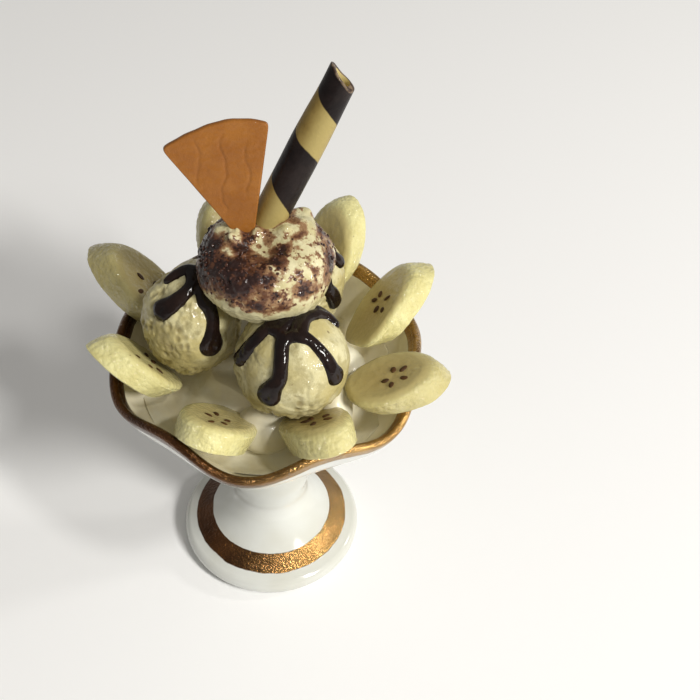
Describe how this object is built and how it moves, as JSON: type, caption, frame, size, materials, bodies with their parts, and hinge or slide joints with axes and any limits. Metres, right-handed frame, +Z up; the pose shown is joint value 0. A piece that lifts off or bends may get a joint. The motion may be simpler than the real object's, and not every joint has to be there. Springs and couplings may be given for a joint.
{
  "type": "miniature ice cream sundae",
  "caption": "Doll's-house banana sundae: scoops with chocolate sauce, fan wafer and striped roll over a ring of banana slices in a footed porcelain dish with gold bands",
  "frame": {"origin": "centre of the dish's foot, on the surface it stands on", "axes": "+Z up along the dish's axis; -Y is the front, which the flat of the fan wafer faces; +X to the right"},
  "size_m": [0.0307, 0.0286, 0.0512],
  "materials": {
    "porcelain": "glazed, with worn gold bands on rim and foot",
    "cream": "smooth varnished clay",
    "ice_cream": "craggy varnished clay with dark glossy sauce",
    "cocoa_dusting": "cream clay under brown crumbs and wet varnish",
    "fan_biscuit": "varnished clay with faint ripples",
    "striped_roll": "dark and cream stripes under varnish",
    "banana": "grainy varnished clay with dark seeds"
  },
  "bodies": {
    "root": {"dish": "porcelain", "cream_bed": "cream", "scoop_left": "ice_cream", "scoop_front": "ice_cream", "scoop_back": "ice_cream", "scoop_top": "cocoa_dusting", "wafer_fan": "fan_biscuit", "wafer_roll": "striped_roll", "banana_slice_1": "banana", "banana_slice_2": "banana", "banana_slice_3": "banana", "banana_slice_4": "banana", "banana_slice_5": "banana", "banana_slice_6": "banana", "banana_slice_7": "banana", "banana_slice_8": "banana"}
  },
  "joints": []
}
